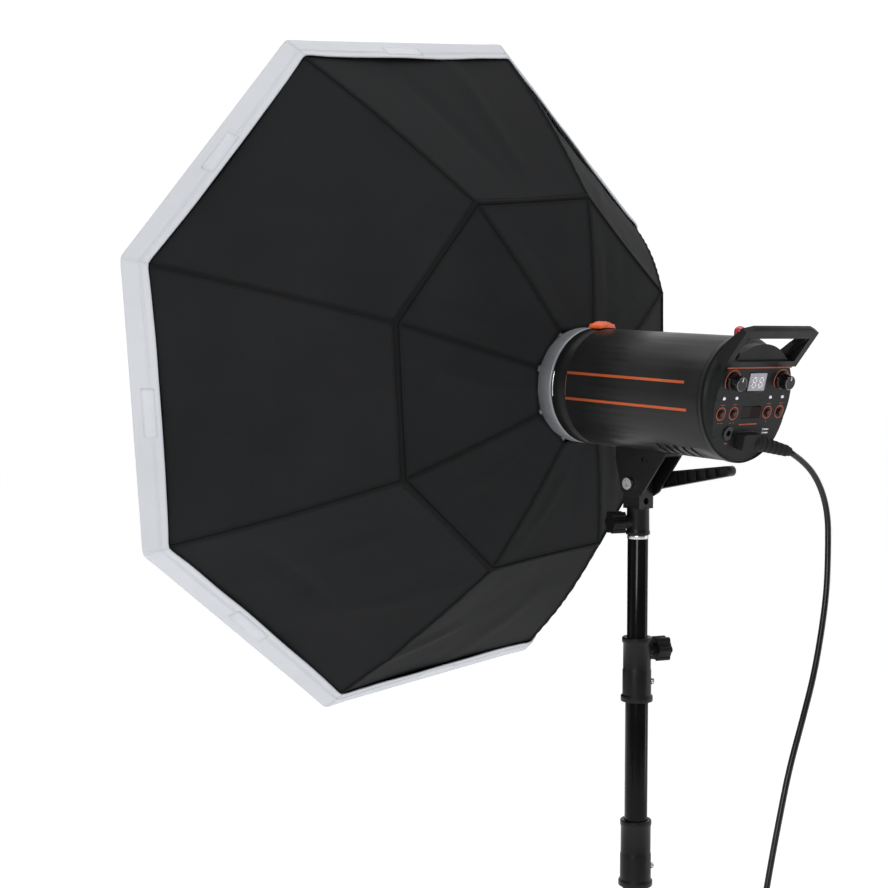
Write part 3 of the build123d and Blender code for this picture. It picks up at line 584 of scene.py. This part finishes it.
def make_diffuser():
    """White cloth stretched over the rim: face, rolled edge, skirt and a doubled rear hem."""
    sunk = 1.2  # the face lies this far behind its rolled edge
    rim_r, rim_y = RIM_R - 1.0, FRONT_Y + 0.8
    middle = at_head(0, FRONT_Y, 0)
    rows = []
    for i in range(SIDES * SKIRT_STEPS):
        s = i / SKIRT_STEPS
        edge = skirt_point(s, 0.0)
        k, u = divmod(s, 1.0)
        rim = spoke(int(k), rim_r, rim_y).lerp(spoke(int(k) + 1, rim_r, rim_y), u)
        rim = rim.lerp(middle, 0.004)
        column = []
        for f in (0.15, 0.3, 0.45, 0.6, 0.72, 0.82, 0.9, 0.95, 0.98):
            spot = middle.lerp(rim, f)
            wrinkle = 1.6 * noise.noise((spot - middle) * 9.0) * math.sin(math.pi * f)
            column.append(spot + AXIS * (wrinkle - sunk) * MM)
        column.append(rim.lerp(edge, 0.35) + AXIS * 0.7 * MM)
        column += [skirt_point(s, t) for t in (0.0, 0.04, 0.12, 0.25, 0.4, 0.55, 0.7, 0.82, 0.92, 1.0)]
        column += [skirt_point(s, 1.0, -1.3), skirt_point(s, 0.9, -1.2), skirt_point(s, 0.75, -1.0)]
        rows.append(column)
    wide = len(rows[0])
    verts = [p for row in rows for p in row] + [at_head(0, FRONT_Y - sunk, 0)]
    faces = grid_faces(len(rows), wide, True)
    centre = len(verts) - 1
    faces += [(centre, i * wide, ((i + 1) % len(rows)) * wide) for i in range(len(rows))]
    cloth = mesh_object("diffuser_cloth", verts, faces, surface=CLOTH_WHITE)
    thicken(cloth, 0.7, 0.0)
    on_softbox(cloth)
    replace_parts(cloth, "front_diffuser")



def make_skirt_seams():
    """Two rows of thread round the rear hem, and one on each side of every corner."""
    steps, proud = 12, 0.7
    seams = []
    for t in (0.66, 0.74):
        seams.append([skirt_point(i / SKIRT_STEPS, t, proud) for i in range(SIDES * SKIRT_STEPS + 1)])
    for k in range(SIDES):
        for shift in (-0.006, 0.006):
            down = [n / steps for n in range(steps + 1)]
            seams.append([skirt_point(k + shift * (1 - t), t, proud) for t in down])
    on_softbox(stitches("diffuser_thread", seams, THREAD_WHITE, 3.2, 0.3))


def make_patches():
    """A patch of hook and loop near the middle of each side of the skirt."""
    wide, steps = 0.17, 12  # of the side's length
    across = (0.36, 0.46, 0.58, 0.72, 0.84)
    patches = []
    for k in range(SIDES):
        s0 = k + 0.5 - wide / 2 + 0.02 * math.sin(k * 2.0)
        rows = []
        for i in range(steps + 1):
            s = s0 + wide * i / steps
            lifts = [0.42 + 0.2 * math.sin(math.pi * n / 4) ** 0.5 for n in range(len(across))]
            rows.append([skirt_point(s, t, lift) for t, lift in zip(across, lifts)])
        patches.append(strip("patch", rows, HOOK_TAPE, 0.4))
    on_softbox(joined("hook_and_loop_patches", patches))


make_cones()
make_seams()
make_diffuser()
make_skirt_seams()
make_patches()

# ------------------------------------------------------------------ flash head
BARREL_R = 70.0
BARREL_FRONT = 58.6
BARREL_REAR = -154.4
PANEL_Y, PANEL_SLOPE = -167.7, 0.2191  # y = PANEL_Y - PANEL_SLOPE * z
PANEL_OUT = Vector((0, -1, -PANEL_SLOPE)).normalized()
BUTTON_X, BUTTON_Z = (-49.2, -28.4, 28.4, 49.2), -14.0
DIAL_X, DIAL_Z = 41.0, 22.0
PRINT = 0.12  # thickness of what is printed on


def on_panel(x, z, lift=0.0):
    """Point on the sloping rear panel, or lifted off it."""
    return at_head(x, PANEL_Y - PANEL_SLOPE * z + PANEL_OUT.y * lift, z + PANEL_OUT.z * lift)


def on_barrel(angle, y, r=BARREL_R):
    """Point on the barrel: the angle is up from its -X side."""
    a = math.radians(angle)
    return at_head(-r * math.cos(a), y, r * math.sin(a))


def on_body(piece, body):
    """The piece, riding that body."""
    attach(piece, body)
    return piece


def steps_between(a, b, count):
    """Even steps from a to b, both included."""
    return [a + (b - a) * i / count for i in range(count + 1)]


def band(angle0, angle1, y0, y1, surface, rise=0.05):
    """A thin band on the barrel's side."""
    rows = [[on_barrel(a, y, BARREL_R + rise) for y in (y0, y1)] for a in steps_between(angle0, angle1, 12)]
    return strip("band", rows, surface, 2 * PRINT)


def arc(x, z, r, wide, start, end):
    """A printed arc on the rear panel."""
    rows = []
    for a in steps_between(math.radians(start), math.radians(end), 40):
        c, s = math.cos(a), math.sin(a)
        rows.append([on_panel(x + q * c, z + q * s, PRINT) for q in (r - wide / 2, r + wide / 2)])
    return strip("arc", rows, PRINT_ORANGE, PRINT)


def dash(x, z, wide, high, surface, lift=PRINT, slant=0.0):
    """A printed bar on the rear panel."""
    rows = [
        [on_panel(x + e * wide / 2 + slant * side * high / 2, z + side * high / 2, lift) for side in (-1, 1)]
        for e in (-1, 1)
    ]
    return strip("dash", rows, surface, PRINT)


def turned(name, start, end, profile, surface, sides=40):
    """A closed turned piece on the line from start to end: the profile is (distance, radius) in mm."""
    along = (end - start).normalized()
    across = along.cross(UP).normalized()
    other = along.cross(across)
    verts = []
    for n in range(sides):
        a = 2 * math.pi * n / sides
        out = across * math.cos(a) + other * math.sin(a)
        verts += [start + (along * d + out * r) * MM for d, r in profile]
    count = len(profile)
    faces = [
        (n * count + i, n * count + (i + 1) % count,
         (n + 1) % sides * count + (i + 1) % count, (n + 1) % sides * count + i)
        for n in range(sides)
        for i in range(count)
    ]
    return mesh_object(name, verts, faces, surface=surface)


def creased(piece, angle=35.0):
    """Smooth shading, with sharp edges where faces meet at more than the angle."""
    with bpy.context.temp_override(object=piece, selected_editable_objects=[piece], active_object=piece):
        bpy.ops.object.shade_smooth_by_angle(angle=math.radians(angle))
    return piece


def make_parting_line():
    """Raised rim round the barrel's rear end, and a dark matte ring where the rear shell begins, as painted
    shade of the gap there.
    """
    start, end = at_head(0, BARREL_REAR, 0), at_head(0, BARREL_REAR + 20, 0)
    rim = [(0.4, 69.6), (0.8, 70.9), (1.6, 71.2), (5.4, 71.2), (6.6, 70.4), (6.8, 69.6)]
    on_body(creased(turned("barrel_rim", start, end, rim, BARREL_PAINT, 96)), "head")
    # the dark ring is painted shade of the gap between barrel and rear shell
    joint = [(-0.9, 68.6), (-0.9, 70.15), (0.3, 70.15), (0.3, 68.6)]
    on_body(creased(turned("parting_line", start, end, joint, TAPE_PAINTED_SHADE, 96)), "head")


def make_stripes():
    """Two stripes on the barrel's side, a mark at their front end, and a bright tab on the bezel."""
    half_angle = 1.25
    stripes = []
    for angle, end in ((15.3, -126), (-9.6, -132)):
        stripes.append(band(angle - half_angle, angle + half_angle, BARREL_FRONT - 1, end, STRIPE_PAINT))
    on_body(joined("side_stripes", stripes), "head")
    on_body(joined("bezel_tab", [band(-9, 15.3, 78.4, 81.4, STEEL, 0.1)]), "head")
    on_body(joined("front_mark", [band(-7, 13, 57.0, 57.8, BRASS, 0.06)]), "head")


def make_panel_prints():
    """Plain lines, rings and marks printed on the rear panel, with no lettering."""
    dial_arc, button_ring, lamp_mark_z, caption_z = 11.9, 6.9, -4.2, -24.6
    prints = [dash(0, 36.4, 109, 1.3, PRINT_ORANGE), dash(0, -26.9, 30.6, 1.5, PRINT_ORANGE)]
    for x in (-DIAL_X, DIAL_X):
        prints.append(arc(x, DIAL_Z, dial_arc, 1.3, -40, 220))
    for x in BUTTON_X:
        prints.append(arc(x, BUTTON_Z, button_ring, 1.25, 0, 360))
        prints.append(dash(x, lamp_mark_z, 6.4, 0.7, PRINT_ORANGE))
    for x in (-50.5, -45.5, -31, -26):
        prints.append(dash(x, caption_z, 3.4, 0.6, PRINT_ORANGE))
    prints.append(dash(29, -24.4, 1.2, 1.8, PRINT_ORANGE))
    prints.append(dash(-31, -47.6, 5.0, 1.0, PRINT_ORANGE))
    on_body(joined("panel_prints", prints), "head")
    bars = [dash(31.8, z, 10.4, 1.5, PRINT_WHITE, 0.25) for z in (-33.6, -37.6)]
    on_body(joined("port_contacts", bars), "head")


def make_digits():
    """Two seven-segment digits, all segments alike, in a thin black frame."""
    high, wide, bar, front = 10.6, 5.8, 1.7, 0.9
    slant, middle_z, frame_lift = 0.1, 20.2, 0.2
    segments = []
    for x in (-5.6, 5.6):
        for level in (-1, 0, 1):
            shift, z = slant * level * high / 2, middle_z + level * high / 2
            segments.append(dash(x + shift, z, wide - 1.4, bar, DIGIT, front))
        for side in (-1, 1):
            for level in (-0.5, 0.5):
                middle, z = x + side * wide / 2 + slant * level * high / 2, middle_z + level * high / 2
                segments.append(dash(middle, z, bar, high / 2 - 1.5, DIGIT, front, slant))
    on_body(joined("display_digits", segments), "head")
    frame_bars = [dash(0, z, 29.6, 1.0, GLOSS_BLACK, frame_lift) for z in (9.6, 31.2)]
    frame_bars += [dash(x, 20.4, 1.0, 22.0, GLOSS_BLACK, frame_lift) for x in (-14.6, 14.6)]
    on_body(joined("display_frame", frame_bars), "head")


def make_dial_trims():
    """Bright rings and pointers on the dials."""
    for side, x in (("left", -DIAL_X), ("right", DIAL_X)):
        foot, top = on_panel(x, DIAL_Z), on_panel(x, DIAL_Z, 10)
        ring = [(12.6, 7.95), (13.4, 7.8), (13.75, 7.3), (13.6, 6.95), (13.2, 7.0)]
        on_body(turned(f"{side}_dial_ring", foot, top, ring, DARK_CHROME), f"dial_{side}")
        skirt = [(0.6, 9.5), (1.2, 10.0), (2.2, 10.0), (3.0, 9.4), (2.4, 8.9), (0.8, 8.9)]
        on_body(turned(f"{side}_dial_skirt", foot, top, skirt, GLOSS_BLACK), f"dial_{side}")
        pointer = dash(x, DIAL_Z + 4.6, 1.3, 3.8, PRINT_WHITE, 13.62)
        on_body(joined(f"{side}_dial_pointer", [pointer]), f"dial_{side}")


def make_button_caps():
    """Dished caps on the push buttons."""
    for n, x in enumerate(BUTTON_X, 1):
        foot, top = on_panel(x, BUTTON_Z), on_panel(x, BUTTON_Z, 10)
        rim = [
            (1.6, 3.45), (2.6, 3.4), (3.15, 2.8), (3.2, 2.2), (2.9, 1.6), (2.8, 0.02), (2.0, 0.02), (1.6, 2.0)
        ]
        on_body(turned(f"button_cap_{n}", foot, top, rim, BUTTON_RED), f"button_{n}")


def make_latch():
    """Orange latch with a lobed, ridged thumb grip, whose foot is an arc over the barrel."""
    x_half, y0, y1 = 12.3, 59.6, 79.4
    foot_r, crest, rounded, ridge_pitch = 71.1, 74.6, 0.16, 5.0
    columns, rows = 33, 25
    verts = []
    for i in range(columns):
        x = -x_half + 2 * x_half * i / (columns - 1)
        for j in range(rows):
            y = y0 + (y1 - y0) * j / (rows - 1)
            edge = min(1 - abs(x) / x_half, min(y - y0, y1 - y) / 4.0, rounded) / rounded
            ridge = 0.9 * math.cos((y - y0) * 2 * math.pi / ridge_pitch)
            lobe = 1.6 * math.cos(x / x_half * math.pi * 0.5) + 0.9 * math.cos(x / x_half * math.pi * 1.5)
            z = crest + (lobe + ridge) * min(edge, 1) - 3.2 * (1 - min(edge, 1)) ** 2
            verts.append(at_head(x, y, z))
    faces = grid_faces(columns, rows)
    rim = [i * rows for i in range(columns)] + [(columns - 1) * rows + j for j in range(1, rows)]
    rim += [i * rows + rows - 1 for i in range(columns - 2, -1, -1)] + list(range(rows - 2, 0, -1))
    base = len(verts)
    for index in rim:
        i, j = divmod(index, rows)
        x = -x_half + 2 * x_half * i / (columns - 1)
        y = y0 + (y1 - y0) * j / (rows - 1)
        verts.append(at_head(x, y, math.sqrt(foot_r ** 2 - x * x)))
    for n in range(len(rim)):
        m = (n + 1) % len(rim)
        faces.append((rim[n], rim[m], base + m, base + n))
    grip = mesh_object("latch_grip", verts, faces, surface=ORANGE)
    thicken(grip, 0.8, -1.0)
    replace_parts(on_body(grip, "latch"), "release_latch")


def make_strain_relief():
    """Ribbed, tapering sleeve where the lead leaves its angled connector."""
    start, end = on_panel(12, -46, 6.2), Vector(CORD_ROUTE[0]) * MM
    reach = (end - start).length / MM
    profile = [(-4.0, 0.01), (-4.0, 4.6), (-2.6, 7.2), (0.0, 8.5), (2.5, 8.9)]
    ribs, root = 6, 4.0
    for n in range(ribs):
        a, b = root + (reach - 5.0) * n / ribs, root + (reach - 5.0) * (n + 0.62) / ribs
        for d, rise in ((a, 0.2), (a + 0.5, 1.0), (b - 0.5, 1.0), (b, 0.2)):
            profile.append((d, 8.3 - 3.0 * d / reach + rise))
    profile += [(reach + 0.6, 5.2), (reach + 1.2, 4.4), (reach + 1.2, 3.6)]
    sleeve = creased(turned("strain_relief", start, end, profile, RUBBER, 48))
    on_body(sleeve, "head")
    return sleeve


def make_plug():
    """Moulded mains plug at the lead's far end, with its flat blades and its round earth pin."""
    x, y, z = -162.5, -276.0, 10.5
    face, blade_x, earth_rise, square = 16, 6.4, 5.5, 0.45
    sections = [  # distance behind the face, half width, half height
        (-17.0, 17.4, 9.2), (-15.8, 18.0, 9.6), (4.0, 17.6, 9.4), (10.0, 15.0, 8.6), (15.0, 10.6, 7.8),
        (20.0, 9.8, 7.4), (32.0, 9.4, 7.0),
    ]
    sides = 40
    verts, faces = [], []
    for back, half_w, half_h in sections:
        for n in range(sides):
            a = 2 * math.pi * n / sides
            c, s = math.cos(a), math.sin(a)
            wide = half_w * math.copysign(abs(c) ** square, c)
            high = half_h * math.copysign(abs(s) ** square, s)
            verts.append(Vector((x + wide, y - back, z + high)) * MM)
    for i in range(len(sections) - 1):
        for n in range(sides):
            m = (n + 1) % sides
            faces.append((i * sides + n, i * sides + m, (i + 1) * sides + m, (i + 1) * sides + n))
    faces.append(tuple(reversed(range(sides))))
    faces.append(tuple(range((len(sections) - 1) * sides, len(sections) * sides)))
    body = creased(mesh_object("plug_body", verts, faces, surface=RUBBER), 50)
    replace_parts(on_body(body, "yoke"), "mains_plug")
    pins = []
    for side in (-1, 1):
        blade = [
            Vector((x + side * blade_x + e * 3.1, y + face + d, z)) * MM for d, e in
            ((0, -1), (0, 1), (15.5, 1), (17, 0.6), (17, -0.6), (15.5, -1))
        ]
        flat = mesh_object("blade", blade, [tuple(range(6))], False, STEEL)
        thicken(flat, 1.6, 0.0)
        pins.append(flat)
    earth = [(0, 0.01), (0, 2.4), (17, 2.4), (18.6, 1.4), (18.8, 0.01)]
    root = Vector((x, y + face, z + earth_rise)) * MM
    pins.append(turned("earth", root, root + Vector((0, 0.02, 0)), earth, STEEL, 24))
    on_body(joined("plug_pins", pins), "yoke")
    return body, bpy.data.objects["plug_pins"]


make_parting_line()
make_stripes()
make_panel_prints()
make_digits()
make_dial_trims()
make_button_caps()
make_latch()
strain_relief = make_strain_relief()
plug_body, plug_pins = make_plug()

# ------------------------------------------------------------------ finish of the CAD nodes
FINISHES = [  # material, rounding of the edges in mm, nodes
    (BARREL_PAINT, 0.4, ["barrel"]),
    (PANEL_PLASTIC, 0.5, ["rear_panel"]),
    (BLACK_PLASTIC, 0.6, ["front_bezel", "head_bracket", "tilt_lever", "receiver"]),
    (BLACK_PLASTIC, 0.6, ["mid_collar", "base_collar"]),
    (BLACK_PLASTIC, 0.8, ["leg_hub", "leg_collar"]),
    (HANDLE_PLASTIC, 1.0, ["carry_handle"]),
    (KNOB_PLASTIC, 0.8, ["receiver_lock_knob", "mid_lock_knob", "base_lock_knob", "leg_lock_knob"]),
    (GLOSS_BLACK, 0.3, ["left_dial", "right_dial", "trigger_sockets", "mains_inlet"]),
    (SWITCH_RED, 0.3, ["power_switch"]),
    (BUTTON_RED, 0.2, [f"push_button_{n}" for n in (1, 2, 3, 4)]),
    (LAMP_WHITE, 0.0, ["indicator_lamps"]),
    (DISPLAY, 0.2, ["display_window"]),
    (ORANGE, 0.8, ["release_latch"]),
    (RED_LENS, 0.0, ["sensor_dome"]),
    (GREY_RING, 0.4, ["speed_ring"]),
    (STEEL, 0.4, ["spigot", "tilt_bolt", "mid_collar_bolt", "base_fasteners", "leg_rivets"]),
    (TUBE_PAINT, 0.3, ["top_tube", "mid_tube", "base_tube"]),
    (TUBE_PAINT, 0.5, [f"{part}_{n}" for part in ("leg", "brace") for n in (1, 2, 3)]),
    (RUBBER, 0.8, ["cord_connector", "mains_plug"] + [f"foot_{n}" for n in (1, 2, 3)]),
    (CORD_SHEATH, 0.0, ["cord_run", "cord_coil"]),
    (FIBREGLASS, 0.0, ["support_rods"]),
    (CLOTH_WHITE, 0.0, ["inner_baffle", "front_diffuser"]),
    (CLOTH_BLACK, 0.0, ["outer_panels", "inner_panels"]),
    (GLASS, 0.0, ["glass_cover"]),
    (FROSTED, 0.0, ["flash_tube", "modelling_lamp"]),
    (BOARD_GREEN, 0.0, ["circuit_board"]),
    (CAN_SLEEVE, 0.8, ["capacitors"]),
]


def finish(piece, surface, rounding):
    """A material, and the small radius that a moulded or pressed edge has."""
    piece.data.materials.clear()
    piece.data.materials.append(surface)
    if rounding:
        weld = piece.modifiers.new("weld", "WELD")
        weld.merge_threshold = 0.00001
        bevel = piece.modifiers.new("rounding", "BEVEL")
        bevel.width = rounding * MM
        bevel.segments = 2
        bevel.angle_limit = math.radians(38)
        bevel.harden_normals = True


for surface, rounding, names in FINISHES:
    for name in names:
        finish(NODES[name], surface, rounding)
bare = set(NODES) - {name for _, _, names in FINISHES for name in names}
if bare:
    raise SystemExit(f"no finish for {sorted(bare)}")

# ------------------------------------------------------------------ stage
def area_light(name, spot, aim, size, power):
    """A rectangular white light at spot, turned toward aim."""
    data = bpy.data.lights.new(name, "AREA")
    data.shape = "RECTANGLE"
    data.size, data.size_y = size
    data.energy = power
    lamp = bpy.data.objects.new(name, data)
    lamp.location = spot
    lamp.rotation_euler = (Vector(aim) - Vector(spot)).to_track_quat("-Z", "Y").to_euler()
    SCENE.collection.objects.link(lamp)


bpy.ops.mesh.primitive_plane_add(size=40)
floor = bpy.context.object
floor.name = "floor"
paper = moulded("floor_white", (0.86, 0.86, 0.86), (0.88, 0.88, 0.88), 0.8)
glowing = paper.node_tree.nodes["Principled BSDF"]
glowing.inputs["Emission Color"].default_value = (1, 1, 1, 1)
glowing.inputs["Emission Strength"].default_value = 0.47
floor.data.materials.append(paper)

SCENE.view_settings.view_transform = "Standard"
world = bpy.data.worlds.new("studio")
SCENE.world = world
world.use_nodes = True
sky = world.node_tree
direction = sky.nodes.new("ShaderNodeTexCoord").outputs["Generated"]
toward = sky.nodes.new("ShaderNodeVectorMath")
toward.operation = "DOT_PRODUCT"
sky.links.new(direction, toward.inputs[0])
toward.inputs[1].default_value = (0.64, 0.77, 0.0)
glow = node(sky, "ShaderNodeMapRange", Value=toward.outputs["Value"])
dim, bright = 0.17, 1.05  # behind the camera, and in front of it
for socket, value in zip(glow.inputs[1:5], (-0.3, 0.45, dim, bright)):
    socket.default_value = value
sky.links.new(glow.outputs["Result"], sky.nodes["Background"].inputs["Strength"])
sky.nodes["Background"].inputs["Color"].default_value = (1, 1, 1, 1)

area_light("overhead", (-0.2, -0.4, 3.4), (0, 0, 1.2), (2.4, 2.4), 30)
area_light("left_rear", (-2.7, -1.2, 2.0), (0, 0.2, 1.2), (0.7, 1.1), 34)
area_light("right_rear", (2.2, -1.9, 1.2), (0, -0.1, 1.1), (0.3, 1.8), 9)
